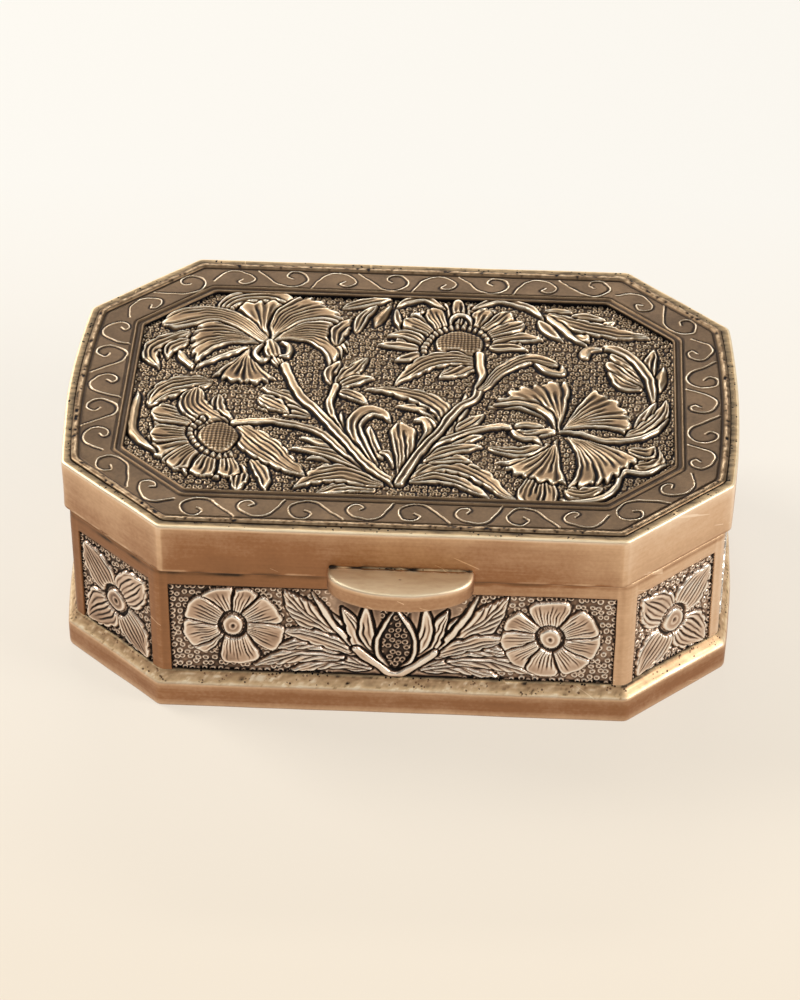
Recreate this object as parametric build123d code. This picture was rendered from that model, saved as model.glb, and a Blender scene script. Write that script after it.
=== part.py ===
from build123d import *
import math
import os

# A small cast brass storage box with eight sides. A hinged lid with a let-in top plate
# closes on an inner lip, ornamental plates are let into the eight walls, and the box
# stands on a stepped foot. Millimetres: the origin is the middle of the underside, X runs
# along the box, the front with the thumb tab faces -Y, and the box stands on Z = 0.

# Plan of the lid; the walls have the same shape inside the overhang, with shorter cut corners
LENGTH = 116.6
DEPTH = 76.0
END_BOW = 1.3
LID_OVERHANG = 1.0
CUT_ALONG = 18.0
CUT_ACROSS = 16.0
CUT_STEP_ALONG = 1.8
CUT_STEP_ACROSS = 1.6

# Foot
BASE_THICKNESS = 1.6
FOOT_PROUD = 1.5
FOOT_FACE = 5.2
FOOT_SLOPE = 2.0

# Walls and the lip inside them
SEAM_HEIGHT = 30.0
WALL_THICKNESS = 2.6
LIP_THICKNESS = 1.0
LIP_DROP = 6.0
LIP_RISE = 3.0

# Let-in wall plates
TOP_RAIL = 3.6
CORNER_POST = 2.0
POCKET_DEPTH = 1.4
PLATE_THICKNESS = 0.8
PLATE_GAP = 0.15

# Lid
LID_SIDE = 10.0
LIP_CLEARANCE = 0.4
LID_RIM = 1.5
TOP_THICKNESS = 2.4
TOP_GAP = 0.12
BEAD_WIDTH = 1.2
BEAD_HEIGHT = 0.4
FRAME_INSET = 8.4
FRAME_WIDTH = 0.5
FRAME_GAP = 0.7
FRAME_HEIGHT = 0.25
FIELD_SUNK = 0.8
EDGE_EASE = 0.4

# Thumb tab
TAB_WIDTH = 24.6
TAB_REACH = 6.8
TAB_STRAIGHT = 1.0
TAB_THICKNESS = 3.7
TAB_DROP = 1.2
TAB_OFF_MIDDLE = 1.5
TAB_EASE = 0.4

# Hinge
KNUCKLE_COUNT = 5
KNUCKLE_LENGTH = 8.0
KNUCKLE_WALL = 0.9
KNUCKLE_CLEARANCE = 0.3
KNUCKLE_END_GAP = 0.15
PIN_RADIUS = 0.9
PIN_CLEARANCE = 0.05
PIN_HEAD_STEP = 0.4
PIN_HEAD_LENGTH = 0.6
AXIS_OUTSIDE_WALL = 0.22

# Plans: half length, half depth and cut corner, along and across
LID_PLAN = (LENGTH / 2 - END_BOW, DEPTH / 2, CUT_ALONG, CUT_ACROSS)
WALL_PLAN = (
    LENGTH / 2 - END_BOW - LID_OVERHANG,
    DEPTH / 2 - LID_OVERHANG,
    CUT_ALONG - CUT_STEP_ALONG,
    CUT_ACROSS - CUT_STEP_ACROSS,
)

# Places that follow from the sizes above
WALL_INNER = LID_OVERHANG + WALL_THICKNESS
FOOT_TOP = FOOT_FACE + FOOT_SLOPE
SKIRT_INNER = WALL_INNER - LIP_CLEARANCE
SECOND_FRAME_INSET = FRAME_INSET + FRAME_WIDTH + FRAME_GAP
FIELD_INSET = SECOND_FRAME_INSET + FRAME_WIDTH
LID_TOP = SEAM_HEIGHT + LID_SIDE
SHOULDER_HEIGHT = LID_TOP - TOP_THICKNESS
PANEL_TOP = SEAM_HEIGHT - TOP_RAIL
HINGE_Y = DEPTH / 2 - LID_OVERHANG + AXIS_OUTSIDE_WALL
KNUCKLE_RADIUS = PIN_RADIUS + KNUCKLE_WALL
KNUCKLE_PITCH = KNUCKLE_LENGTH + KNUCKLE_END_GAP
PIN_HEAD_RADIUS = PIN_RADIUS + PIN_HEAD_STEP
BARREL_LENGTH = KNUCKLE_COUNT * KNUCKLE_PITCH - KNUCKLE_END_GAP


def quarter_corners(plan, inset):
    """Corner on the front or back and corner on the end, in the +X, +Y quarter."""
    half_length, half_depth, cut_along, cut_across = plan
    cut_angle = math.atan2(cut_across, cut_along)
    end_angle = math.pi / 2 - cut_angle
    long_x = half_length - cut_along - inset * math.tan(cut_angle / 2)
    short_y = half_depth - cut_across - inset * math.tan(end_angle / 2)
    return (long_x, half_depth - inset), (half_length - inset, short_y)


def end_edge(start, end, bow):
    """One end of an outline: an arc that swells outwards, or a line where bow is 0."""
    if bow == 0:
        return Line(start, end)
    middle_x = start[0] + math.copysign(bow, start[0])
    return ThreePointArc(start, (middle_x, 0), end)


def outline(plan, inset, bow=END_BOW):
    """Eight-sided face, parallel to a plan and moved in, with its ends bowed."""
    (long_x, long_y), (end_x, end_y) = quarter_corners(plan, inset)
    edges = [
        Line((-long_x, -long_y), (long_x, -long_y)),
        Line((long_x, -long_y), (end_x, -end_y)),
        end_edge((end_x, -end_y), (end_x, end_y), bow),
        Line((end_x, end_y), (long_x, long_y)),
        Line((long_x, long_y), (-long_x, long_y)),
        Line((-long_x, long_y), (-end_x, end_y)),
        end_edge((-end_x, end_y), (-end_x, -end_y), bow),
        Line((-end_x, -end_y), (-long_x, -long_y)),
    ]
    return Face(Wire(edges))


def slab(plan, inset, bottom, top, bow=END_BOW):
    """Solid between two heights with a plan moved in by inset."""
    return extrude(Pos(0, 0, bottom) * outline(plan, inset, bow), amount=top - bottom)


def ring(plan, outer, inner, bottom, top, bow=END_BOW):
    """Eight-sided band between two insets of one plan."""
    return slab(plan, outer, bottom, top, bow) - slab(plan, inner, bottom, top, bow)


def wall_sides():
    """Name, middle, width and outward angle in degrees of each of the eight wall faces."""
    (long_x, long_y), (end_x, end_y) = quarter_corners(WALL_PLAN, 0)
    corners = [
        (-long_x, -long_y), (long_x, -long_y), (end_x, -end_y), (end_x, end_y),
        (long_x, long_y), (-long_x, long_y), (-end_x, end_y), (-end_x, -end_y),
    ]
    names = [
        "front", "front_right", "right", "back_right",
        "back", "back_left", "left", "front_left",
    ]
    sides = []
    for index, name in enumerate(names):
        start = Vector(*corners[index])
        end = Vector(*corners[(index + 1) % 8])
        along = end - start
        outward = math.degrees(math.atan2(along.Y, along.X)) - 90
        sides.append((name, (start + end) / 2, along.length, outward))
    return sides


def panel_window(side, gap):
    """Upright block through one wall where its plate sits, made smaller by gap."""
    name, middle, width, outward = side
    window_width = width - 2 * CORNER_POST - 2 * gap
    window_height = PANEL_TOP - FOOT_TOP - gap
    reach = 2 * (END_BOW + WALL_THICKNESS)
    block = Box(reach, window_width, window_height, align=(Align.CENTER, Align.CENTER, Align.MIN))
    return Pos(middle.X, middle.Y, FOOT_TOP) * Rot(0, 0, outward) * block


def knuckle_spans():
    """Owner, start and end along X of every hinge knuckle; the box has the outer ones."""
    spans = []
    for index in range(KNUCKLE_COUNT):
        start = -BARREL_LENGTH / 2 + index * KNUCKLE_PITCH
        owner = "box" if index % 2 == 0 else "lid"
        spans.append((owner, start, start + KNUCKLE_LENGTH))
    return spans


def hinge_cylinder(radius, start, end):
    """Solid cylinder on the hinge axis between two places along X."""
    rod = Cylinder(radius, end - start, rotation=(0, 90, 0))
    return Pos((start + end) / 2, HINGE_Y, SEAM_HEIGHT) * rod


def hinge_seats(owner):
    """Room cut for the hinge: close seats for the owner's knuckles, free ones for the rest."""
    seats = []
    for knuckle_owner, start, end in knuckle_spans():
        if knuckle_owner == owner:
            seats.append(hinge_cylinder(KNUCKLE_RADIUS, start, end))
        else:
            free_radius = KNUCKLE_RADIUS + KNUCKLE_CLEARANCE
            seats.append(hinge_cylinder(free_radius, start - KNUCKLE_END_GAP, end + KNUCKLE_END_GAP))
    head_room = PIN_HEAD_LENGTH + KNUCKLE_END_GAP
    for start in (-BARREL_LENGTH / 2 - head_room, BARREL_LENGTH / 2):
        seats.append(hinge_cylinder(PIN_HEAD_RADIUS + KNUCKLE_CLEARANCE, start, start + head_room))
    return seats


def base_plate():
    """Flat underside, let in flush inside the foot."""
    return slab(WALL_PLAN, 0, 0, BASE_THICKNESS)


def foot_ring():
    """Stepped foot round the wall: an upright face, then a slope that meets the wall."""
    upright = ring(WALL_PLAN, -FOOT_PROUD, 0, 0, FOOT_FACE)
    low_edge = Pos(0, 0, FOOT_FACE) * outline(WALL_PLAN, -FOOT_PROUD)
    high_edge = Pos(0, 0, FOOT_TOP) * outline(WALL_PLAN, 0)
    slope = loft([low_edge, high_edge]) - slab(WALL_PLAN, 0, FOOT_FACE, FOOT_TOP)
    return upright + slope


def wall_frame():
    """Eight walls in one band, with a pocket in each for its plate and the hinge's seats."""
    frame = slab(WALL_PLAN, 0, BASE_THICKNESS, SEAM_HEIGHT)
    frame -= slab(LID_PLAN, WALL_INNER, BASE_THICKNESS, SEAM_HEIGHT)
    pocket_floor = slab(WALL_PLAN, POCKET_DEPTH, FOOT_TOP, PANEL_TOP)
    for side in wall_sides():
        frame -= panel_window(side, 0) - pocket_floor
    for seat in hinge_seats("box"):
        frame -= seat
    return frame


def wall_panels():
    """The plates in the eight pockets, lying on the pocket floors below the wall's face."""
    ground = POCKET_DEPTH - PLATE_THICKNESS
    sheet = ring(WALL_PLAN, ground, POCKET_DEPTH, FOOT_TOP, PANEL_TOP)
    return {"panel_" + side[0]: sheet & panel_window(side, PLATE_GAP) for side in wall_sides()}


def lip_ring():
    """Thin band inside the walls that stands up past the seam and guides the lid."""
    bottom = SEAM_HEIGHT - LIP_DROP
    top = SEAM_HEIGHT + LIP_RISE
    return ring(LID_PLAN, WALL_INNER, WALL_INNER + LIP_THICKNESS, bottom, top)


def lid_skirt():
    """Sides of the lid: a broken top edge, and a shoulder inside that carries the top plate."""
    block = slab(LID_PLAN, 0, SEAM_HEIGHT, LID_TOP)
    block = chamfer(block.edges().group_by(Axis.Z)[-1], EDGE_EASE)
    skirt = block - slab(LID_PLAN, SKIRT_INNER, SEAM_HEIGHT, SHOULDER_HEIGHT)
    skirt -= slab(LID_PLAN, LID_RIM, SHOULDER_HEIGHT, LID_TOP)
    for seat in hinge_seats("lid"):
        skirt -= seat
    return skirt


def lid_top_plate():
    """Plate let into the skirt: a bead round its edge, a double frame and a sunk field."""
    edge = LID_RIM + TOP_GAP
    plate = slab(LID_PLAN, edge, SHOULDER_HEIGHT, LID_TOP)
    plate += ring(LID_PLAN, edge, edge + BEAD_WIDTH, LID_TOP, LID_TOP + BEAD_HEIGHT)
    for inset in (FRAME_INSET, SECOND_FRAME_INSET):
        frame_top = LID_TOP + FRAME_HEIGHT
        plate += ring(LID_PLAN, inset, inset + FRAME_WIDTH, LID_TOP, frame_top, bow=0)
    return plate - slab(LID_PLAN, FIELD_INSET, LID_TOP - FIELD_SUNK, LID_TOP, bow=0)


def thumb_tab():
    """D-shaped lip on the front of the lid, hanging a little below it: straight, then half an ellipse."""
    root_y = -DEPTH / 2
    shoulder_y = root_y - TAB_STRAIGHT
    half_width = TAB_WIDTH / 2
    nose = EllipticalCenterArc(
        (0, shoulder_y), half_width, TAB_REACH - TAB_STRAIGHT, start_angle=180, arc_size=180
    )
    edges = [
        Line((half_width, root_y), (-half_width, root_y)),
        Line((-half_width, root_y), (-half_width, shoulder_y)),
        nose,
        Line((half_width, shoulder_y), (half_width, root_y)),
    ]
    plan = Pos(TAB_OFF_MIDDLE, 0, SEAM_HEIGHT - TAB_DROP) * Face(Wire(edges))
    tab = extrude(plan, amount=TAB_THICKNESS)
    rims = tab.edges().filter_by(lambda edge: edge.center().Y < root_y - TAB_EASE)
    rims = rims.filter_by(Axis.Z, reverse=True)
    return chamfer(rims, TAB_EASE)


def hinge_knuckles():
    """Tubes round the pin: tight on it where the box owns them, free where the lid does."""
    knuckles = {}
    for index, (owner, start, end) in enumerate(knuckle_spans()):
        bore = PIN_RADIUS if owner == "box" else PIN_RADIUS + PIN_CLEARANCE
        tube = hinge_cylinder(KNUCKLE_RADIUS, start, end) - hinge_cylinder(bore, start, end)
        knuckles["hinge_knuckle_%d_%s" % (index + 1, owner)] = tube
    return knuckles


def hinge_pin():
    """Rod through the knuckles, spread into a low head at each end."""
    half = BARREL_LENGTH / 2
    pin = hinge_cylinder(PIN_RADIUS, -half, half)
    for end in (-half - PIN_HEAD_LENGTH, half):
        pin += hinge_cylinder(PIN_HEAD_RADIUS, end, end + PIN_HEAD_LENGTH)
    ends = pin.edges().filter_by(GeomType.CIRCLE).group_by(Axis.X)
    return chamfer(ends[0] + ends[-1], PIN_HEAD_LENGTH / 2)


def build_pieces():
    """Every piece of the box by name."""
    pieces = {
        "base_plate": base_plate(),
        "foot_ring": foot_ring(),
        "wall_frame": wall_frame(),
        "lip_ring": lip_ring(),
        "lid_skirt": lid_skirt(),
        "lid_top_plate": lid_top_plate(),
        "thumb_tab": thumb_tab(),
        "hinge_pin": hinge_pin(),
    }
    pieces.update(wall_panels())
    pieces.update(hinge_knuckles())
    return pieces


os.makedirs("parts", exist_ok=True)
for name, piece in build_pieces().items():
    piece.label = name
    export_step(piece, "parts/" + name + ".step")
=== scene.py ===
import math

import bpy
import numpy as np
from mathutils import Matrix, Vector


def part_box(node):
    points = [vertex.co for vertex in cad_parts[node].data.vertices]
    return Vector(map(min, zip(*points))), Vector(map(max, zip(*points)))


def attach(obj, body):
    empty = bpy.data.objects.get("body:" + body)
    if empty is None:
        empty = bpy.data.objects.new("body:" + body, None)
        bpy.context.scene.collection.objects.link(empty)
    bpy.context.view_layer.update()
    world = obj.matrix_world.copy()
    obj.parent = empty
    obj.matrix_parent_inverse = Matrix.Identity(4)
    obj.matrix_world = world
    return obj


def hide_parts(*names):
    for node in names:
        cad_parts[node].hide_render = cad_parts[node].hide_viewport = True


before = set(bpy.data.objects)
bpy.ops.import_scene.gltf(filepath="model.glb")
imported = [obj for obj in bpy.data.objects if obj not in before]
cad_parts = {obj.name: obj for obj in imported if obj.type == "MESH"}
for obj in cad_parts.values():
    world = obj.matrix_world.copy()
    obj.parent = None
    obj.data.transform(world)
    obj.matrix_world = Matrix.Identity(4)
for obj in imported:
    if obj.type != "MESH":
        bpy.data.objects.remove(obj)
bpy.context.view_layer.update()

# Sizes in millimetres, as in the part. A plan is half its length, half its depth, and how
# far its corners are cut off along and across.
MM = 0.001
LID_PLAN = (57.0, 38.0, 18.0, 16.0)
WALL_PLAN = (56.0, 37.0, 16.2, 14.4)
MEAN_REACH = 40.0
END_BOW = 1.3
END_SIDES = (2, 6)
CORNER_ROUND = 0.7
CORNER_STEPS = 4
FOOT_PROUD = 1.5
LID_TOP = 40.0
SHOULDER = 37.6
FIELD_LEVEL = 39.2
FIELD_HIGHEST = 40.36
FIELD_INSET = 10.1
FIELD_REACH = (47.6, 29.0)
SHEET_STEP = 0.14
WINDOW_LOW = 7.2
WINDOW_HIGH = 26.4
WINDOW_POST = 2.0
WINDOW_DEPTH = 1.4
WINDOW_EDGE = 0.24
GROUND_DEPTH = 0.6
PLATE_RELIEF = 0.9
HINGE_Y = 37.22
HINGE_Z = 30.0
HINGE_HALF = 20.45
SEAT_RADIUS = 1.95
KNUCKLE_RADIUS = 1.79
KNUCKLE_LENGTH = 8.0
KNUCKLE_PITCH = 8.15
PIN_RADIUS = 0.9
PIN_PLAY = 0.06
TAB_MIDDLE = (1.5, -40.5)
TAB_HALF = 12.3
TAB_BACK = -37.6
TAB_ARC_START = -39.0
TAB_ARC_REACH = 5.79
TAB_LOW = 28.8
TAB_HIGH = 32.5
SOLDER_Y = -38.05
SOLDER_HALF = 12.0

# Camera: its place in metres, and its angles in degrees to the right of the front, above
# the table, and leaning
LENS = 126.304
CAMERA_PLACE = (0.022363, -0.479733, 0.414570)
CAMERA_AZIMUTH = 2.726
CAMERA_ELEVATION = 39.693
CAMERA_LEAN = 0.238


def add_object(name, data):
    thing = bpy.data.objects.new(name, data)
    bpy.context.scene.collection.objects.link(thing)
    return thing


def add_camera():
    data = bpy.data.cameras.new("camera")
    data.sensor_width = 36
    data.lens = LENS
    data.clip_end = 20
    camera = add_object("camera", data)
    turn = Matrix.Rotation(math.radians(CAMERA_AZIMUTH), 4, "Z")
    tilt = Matrix.Rotation(math.radians(90 - CAMERA_ELEVATION), 4, "X")
    lean = Matrix.Rotation(math.radians(CAMERA_LEAN), 4, "Z")
    camera.matrix_world = Matrix.Translation(CAMERA_PLACE) @ turn @ tilt @ lean
    bpy.context.scene.camera = camera


# Materials
class Shading:
    """A material's nodes, each of which gives one of its outputs on to the next."""

    def __init__(self, name):
        self.material = bpy.data.materials.new(name)
        self.material.use_nodes = True
        self.tree = self.material.node_tree
        self.shader = self.tree.nodes["Principled BSDF"]

    def fill(self, node, values):
        """Sets each input to a number, or links it to another node's output."""
        for key, value in values.items():
            if isinstance(value, bpy.types.NodeSocket):
                self.tree.links.new(value, node.inputs[key])
            else:
                node.inputs[key].default_value = value

    def add(self, kind, values, output=0, **settings):
        node = self.tree.nodes.new("ShaderNode" + kind)
        for key, value in settings.items():
            setattr(node, key, value)
        self.fill(node, values)
        return node.outputs[output]

    def ramp(self, factor, stops):
        """A colour ramp: stops are (place, colour)."""
        colour = self.add("ValToRGB", {"Fac": factor})
        elements = colour.node.color_ramp.elements
        while len(elements) < len(stops):
            elements.new(0.5)
        for element, (place, shade) in zip(elements, stops):
            element.position = place
            element.color = (*shade, 1)
        return colour

    def maths(self, operation, *values):
        return self.add("Math", dict(enumerate(values)), operation=operation)

    def plus(self, base, pattern, share):
        """A value with a share of a pattern added."""
        return self.maths("MULTIPLY_ADD", pattern, share, base)

    def between(self, value, low, high):
        """How far a value has come from low, 0, to high, 1."""
        return self.add("MapRange", {"Value": value, "From Min": low, "From Max": high})

    def noise(self, place, scale, detail, stretch=None, turn=0.0):
        if stretch:
            values = {"Vector": place, "Scale": stretch, "Rotation": (0, turn, 0)}
            place = self.add("Mapping", values)
        return self.add("TexNoise", {"Vector": place, "Scale": scale, "Detail": detail})

    def pits(self, place):
        """Small black casting pits in patches."""
        cells = self.add("TexVoronoi", {"Vector": place, "Scale": 1500.0})
        holes = self.maths("LESS_THAN", cells, 0.3)
        patches = self.maths("GREATER_THAN", self.noise(place, 420.0, 3.0), 0.54)
        return self.maths("MULTIPLY", holes, patches)

    def slanting_marks(self, place):
        """Long thin scratches that slant down to the right, in patches."""
        values = {"Vector": place, "Scale": (30, 30, 1), "Rotation": (0, 0.5, 0)}
        slanted = self.add("Mapping", values, vector_type="TEXTURE")
        lines = self.maths("GREATER_THAN", self.noise(slanted, 1600.0, 1.0), 0.71)
        patches = self.maths("GREATER_THAN", self.noise(place, 70.0, 1.0), 0.53)
        return self.maths("MULTIPLY", lines, patches)


def brass(name, stops, gloss, mottling, scratches, upper_stops=None):
    """Brass with wear: the tone attribute runs from 0, lightest, on polished edges and crests, partly a
    painted highlight, to 1 in hollows dark with patina and painted shade.
    """
    metal = Shading(name)
    place = metal.add("TexCoord", {}, "Object")
    tone = metal.add("Attribute", {}, "Fac", attribute_name="tone")
    grit = metal.noise(place, 1500.0, 2.0)
    hairs = metal.noise(place, 2400.0, 2.0, (0.05, 0.05, 1.0), 0.06)
    cross_hairs = metal.noise(place, 2400.0, 2.0, (0.06, 0.06, 1.0), -0.62)
    toned = metal.maths("ADD", tone, -0.8 * mottling - 0.04 * scratches)
    toned = metal.plus(toned, metal.noise(place, 160.0, 5.0), mottling)
    toned = metal.plus(toned, hairs, 0.05 * scratches)
    toned = metal.plus(toned, cross_hairs, 0.03 * scratches)
    toned = metal.plus(toned, grit, 0.6 * mottling)
    if upper_stops:
        toned = metal.plus(toned, metal.slanting_marks(place), -0.15 * scratches)
    bumps = metal.plus(cross_hairs, hairs, scratches)
    bumps = metal.plus(bumps, grit, 0.5)
    colour = metal.ramp(toned, stops)
    low, high = gloss
    rough = metal.add("MapRange", {"Value": toned, "To Min": low, "To Max": high})
    rough = metal.plus(rough, hairs, 0.16)
    # Faces that look up take a lighter, more golden ramp and a lighter tone: painted light from above, with
    # cast pits and streaks.
    if upper_stops:
        normal = metal.add("TexCoord", {}, "Normal")
        upright = metal.add("SeparateXYZ", {"Vector": normal}, "Z")
        facing_up = metal.between(upright, 0.35, 0.7)
        as_cast = metal.maths("MULTIPLY", facing_up, metal.between(tone, 0.20, 0.26))
        holes = metal.maths("MULTIPLY", metal.pits(place), as_cast)
        streaks = metal.noise(place, 300.0, 4.0, (1.0, 3.5, 1.0))
        upper_tone = metal.plus(metal.maths("SUBTRACT", toned, 0.25), streaks, 0.5)
        upper = metal.ramp(metal.plus(upper_tone, holes, 0.8), upper_stops)
        colour = metal.add("Mix", {0: facing_up, 6: colour, 7: upper}, 2, data_type="RGBA")
        bumps = metal.plus(bumps, holes, -1.2)
        rough = metal.plus(rough, facing_up, 0.20)
    bump = metal.add("Bump", {"Height": bumps, "Strength": 0.25, "Distance": 0.00006})
    looks = {"Metallic": 1.0, "Base Color": colour, "Roughness": rough, "Normal": bump}
    metal.fill(metal.shader, looks)
    return metal.material


BLACK = (0.010, 0.010, 0.013)
LID_STOPS = [
    (0.0, (0.68, 0.60, 0.48)), (0.16, (0.46, 0.34, 0.215)), (0.40, (0.205, 0.132, 0.074)),
    (0.60, (0.074, 0.050, 0.033)), (0.80, (0.018, 0.017, 0.020)),
]
PLATE_STOPS = [
    (0.0, (1.0, 0.93, 0.84)), (0.20, (0.86, 0.70, 0.57)), (0.42, (0.535, 0.375, 0.275)),
    (0.60, (0.21, 0.135, 0.095)), (0.80, (0.05, 0.037, 0.031)), (1.0, (0.020, 0.017, 0.016)),
]
SATIN_STOPS = [
    (0.0, (1.0, 0.80, 0.62)), (0.20, (0.74, 0.50, 0.32)), (0.42, (0.36, 0.175, 0.085)),
    (0.60, (0.24, 0.12, 0.06)), (0.80, (0.07, 0.045, 0.03)), (1.0, BLACK),
]
# Lighter colours for faces that look up: painted light from above.
UPPER_STOPS = [
    (0.0, (1.0, 0.86, 0.62)), (0.30, (0.80, 0.60, 0.36)), (0.50, (0.50, 0.37, 0.22)),
    (0.75, (0.08, 0.06, 0.045)), (0.9, BLACK),
]
PLAIN_STOPS = [
    (0.0, (0.90, 0.66, 0.40)), (0.45, (0.55, 0.37, 0.20)), (0.80, (0.20, 0.13, 0.07)), (1.0, BLACK),
]
# Colours, roughness from light to dark places, mottling and scratches of each slot's brass, and for satin
# brass the lighter colours of faces that look up, which are painted light from above
LOOKS = {
    "carved_lid_brass": (LID_STOPS, (0.25, 0.50), 0.16, 0.6),
    "carved_panel_brass": (PLATE_STOPS, (0.20, 0.50), 0.14, 0.5),
    "satin_brass": (SATIN_STOPS, (0.30, 0.50), 0.14, 1.0, UPPER_STOPS),
    "plain_brass": (PLAIN_STOPS, (0.32, 0.50), 0.30, 0.8),
    "hinge_brass": (SATIN_STOPS, (0.26, 0.44), 0.24, 0.6),
}
BRASS = {name: brass(name, *look) for name, look in LOOKS.items()}


# Meshes
def add_piece(name, points, tones, faces, body, slot, *nodes):
    """A smooth piece made of four-cornered faces, on its body and in its slot."""
    used, numbers = np.unique(faces, return_inverse=True)
    corners = numbers.reshape(-1).astype(np.int32)
    mesh = bpy.data.meshes.new(name)
    mesh.vertices.add(len(used))
    mesh.vertices.foreach_set("co", (points.reshape(-1, 3)[used] * MM).astype(np.float32).ravel())
    mesh.loops.add(len(corners))
    mesh.loops.foreach_set("vertex_index", corners)
    mesh.polygons.add(len(corners) // 4)
    mesh.polygons.foreach_set("loop_start", np.arange(0, len(corners), 4, dtype=np.int32))
    mesh.update(calc_edges=True)
    mesh.attributes.new("tone", "FLOAT", "POINT")
    mesh.attributes["tone"].data.foreach_set("value", tones.ravel()[used].astype(np.float32))
    mesh.shade_smooth()
    mesh.materials.append(BRASS[slot])
    piece = add_object(name, mesh)
    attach(piece, body)
    if nodes:
        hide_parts(*nodes)


def grid_faces(rows, columns, closed_columns=False, closed_rows=False, keep=None):
    """The faces of a grid of points, which face out where the rows go up and turn left."""
    numbers = np.arange(rows * columns).reshape(rows, columns)
    right = np.roll(numbers, -1, axis=1)
    up = np.roll(numbers, -1, axis=0)
    corner = np.roll(right, -1, axis=0)
    faces = np.stack([numbers, right, corner, up], axis=-1)
    faces = faces[: rows if closed_rows else rows - 1, : columns if closed_columns else columns - 1]
    return faces[keep] if keep is not None else faces.reshape(-1, 4)


def add_band(name, points, tones, body, slot, *nodes, closed=True, inward=False):
    """A piece whose rows of points run round it, the last row joined to the first if closed."""
    faces = grid_faces(*tones.shape, closed_columns=True, closed_rows=closed)
    add_piece(name, points, tones, faces[:, ::-1] if inward else faces, body, slot, *nodes)


# Curves
def smooth_step(values):
    """From 0 to 1, eased at both ends."""
    values = np.clip(values, 0, 1)
    return values * values * (3 - 2 * values)


def bell(values, width, power=2):
    """A bump of height 1 at 0, gone at about twice its width."""
    return np.exp(-((values / width) ** power))


def ripple(values, pitch):
    """Waves from 0 to 1, starting at 0."""
    return 0.5 - 0.5 * np.cos(2 * np.pi * values / pitch)


def lumps(x, y, pitch, seed):
    """Smooth random unevenness from -1 to 1, its lumps about a pitch apart."""
    table = np.random.default_rng(seed).uniform(-1, 1, (64, 64))
    column = np.floor(x / pitch).astype(int)
    row = np.floor(y / pitch).astype(int)
    across = smooth_step(x / pitch - column)
    up = smooth_step(y / pitch - row)
    values = [table[(row + above) % 64, (column + beside) % 64] for above in (0, 1) for beside in (0, 1)]
    low = values[0] * (1 - across) + values[1] * across
    high = values[2] * (1 - across) + values[3] * across
    return low * (1 - up) + high * up


# Outlines
def plan_corners(plan, inset):
    """The eight corners of a plan moved inwards, counter-clockwise from the front's left end."""
    half_length, half_depth, along, across = plan
    cut_angle = math.atan2(across, along)
    x = half_length - inset
    y = half_depth - inset
    long_x = half_length - along - inset * math.tan(cut_angle / 2)
    end_y = half_depth - across - inset * math.tan((math.pi / 2 - cut_angle) / 2)
    right = [(long_x, -y), (x, -end_y), (x, end_y), (long_x, y)]
    return np.array([(-long_x, -y)] + right + [(-long_x, y), (-x, end_y), (-x, -end_y)])


def side_frames(plan, inset):
    """Middle, direction, outward direction and length of each of the eight sides."""
    corners = plan_corners(plan, inset)
    following = np.roll(corners, -1, axis=0)
    length = np.linalg.norm(following - corners, axis=1)
    along = (following - corners) / length[:, None]
    outward = np.stack([along[:, 1], -along[:, 0]], axis=1)
    return (corners + following) / 2, along, outward, length


def inside_plan(x, y, inset):
    """Whether each place lies inside the lid's outline moved inwards."""
    corners = plan_corners(LID_PLAN, inset)
    inside = np.ones(x.shape, bool)
    for start, end in zip(corners, np.roll(corners, -1, axis=0)):
        run = end - start
        inside &= run[0] * (y - start[1]) - run[1] * (x - start[0]) > 0
    return inside


def outline_places(plan, step, extra=()):
    """Side, share of the half side from -1 to 1, and corner turn, for each place round a plan."""
    length = side_frames(plan, 0)[3]
    places = []
    for side in range(8):
        half = length[side] / 2 - CORNER_ROUND
        count = max(2, int(round(2 * half / step)))
        shares = list(np.linspace(-1, 1, count + 1))
        shares += [sign * (half - gap) / half for gap in extra for sign in (-1, 1)]
        places += [(side, share, 0.0) for share in sorted(set(shares))]
        places += [(side, 1.0, turn / CORNER_STEPS) for turn in range(1, CORNER_STEPS)]
    return np.array(places)


def corner_distance(plan, places):
    """How far each place lies from the nearer end of its side."""
    half = side_frames(plan, 0)[3][places[:, 0].astype(int)] / 2
    off = half - np.abs(places[:, 1]) * (half - CORNER_ROUND)
    return np.where(places[:, 2] > 0, 0.0, off)


def bowed(sides, reach, length, bow):
    """How far a side bows out at a distance from its middle, if it is an end."""
    return np.where(np.isin(sides, END_SIDES), bow * (1 - (2 * reach / length[sides]) ** 2), 0.0)


def outline_ring(plan, inset, bow, places):
    """One ring's points, with rounded corners and bowed ends, and how far along its side each is."""
    middle, along, outward, length = side_frames(plan, inset)
    sides = places[:, 0].astype(int)
    turns = places[:, 2:3]
    following = (sides + 1) % 8
    half = length / 2 - CORNER_ROUND
    reach = half[sides] * places[:, 1]
    ends = middle[sides] + along[sides] * reach[:, None]
    ends += outward[sides] * bowed(sides, reach, length, bow)[:, None]
    starts = middle[following] - along[following] * half[following][:, None]
    starts += outward[following] * bowed(following, half[following], length, bow)[:, None]
    corner = plan_corners(plan, inset)[following]
    points = (1 - turns) ** 2 * ends + 2 * turns * (1 - turns) * corner + turns**2 * starts
    return points, reach


def profile(plan, corners, bow=END_BOW):
    """Rows of a swept profile from (inset, height, tone) corners."""
    return [(plan, inset, height, tone, bow) for inset, height, tone in corners]


def hand_made(x, y, z):
    """A slow waviness of about a tenth of a millimetre, as on a filed casting."""
    waves = np.sin(0.13 * x + 0.21 * z + 1.0) + np.sin(0.17 * y - 0.11 * z + 2.0)
    waves += np.sin(0.31 * x - 0.27 * y + 0.4 * z) * 0.6
    return 0.045 * waves


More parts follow.
